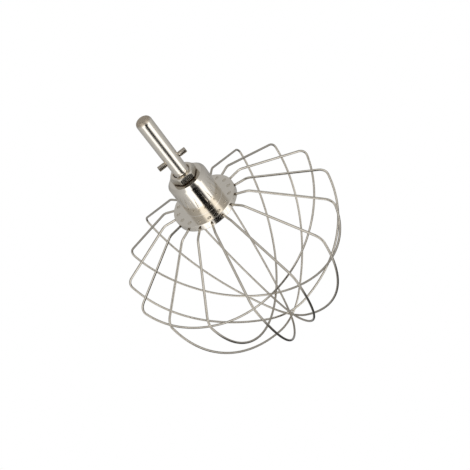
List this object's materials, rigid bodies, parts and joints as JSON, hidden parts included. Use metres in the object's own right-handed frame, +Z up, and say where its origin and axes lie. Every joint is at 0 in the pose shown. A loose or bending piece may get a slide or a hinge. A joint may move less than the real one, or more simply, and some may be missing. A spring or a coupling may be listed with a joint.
{
  "type": "wire balloon whisk",
  "caption": "Wire balloon whisk for a stand mixer: bent wire loops in a flanged hub on a drive shaft with a cross pin and a lock nut.",
  "frame": {"origin": "on the drive shaft's axis, 3 mm above the cross pin's centre, where the plain shank starts", "axes": "+Z up the shaft to its tip, Y along the cross pin, the loops hang towards -Z"},
  "size_m": [0.1476, 0.1476, 0.2043],
  "materials": {
    "polished_steel": "polished",
    "spring_steel": "drawn, satin",
    "nut_steel": "satin, machined",
    "hub_steel": "finely turned",
    "wire_steel": "drawn wire",
    "lock_pin_steel": "satin"
  },
  "bodies": {
    "shaft": {"drive_shaft": "polished_steel", "drive_pin": "spring_steel"},
    "nut": {"lock_nut": "nut_steel"},
    "whisk": {"hub": "hub_steel", "wire_loop_1": "wire_steel", "wire_loop_2": "wire_steel", "wire_loop_3": "wire_steel", "wire_loop_4": "wire_steel", "wire_loop_5": "wire_steel", "wire_loop_6": "wire_steel", "wire_loop_7": "wire_steel", "wire_loop_8": "wire_steel", "wire_lock_pins": "lock_pin_steel"}
  },
  "joints": [
    {"name": "nut_height", "type": "slide", "parent": "shaft", "child": "nut", "axis": [0, 0, -1], "range_m": [0, 0.006]},
    {"name": "whisk_screw", "type": "hinge", "parent": "nut", "child": "whisk", "pos_m": [0, 0, -0.018], "axis": [0, 0, -1], "range_deg": [0, 1440]}
  ],
  "couplings": [
    {"joint": "nut_height", "follows": "whisk_screw", "m_per_rad": 0.0002387}
  ]
}
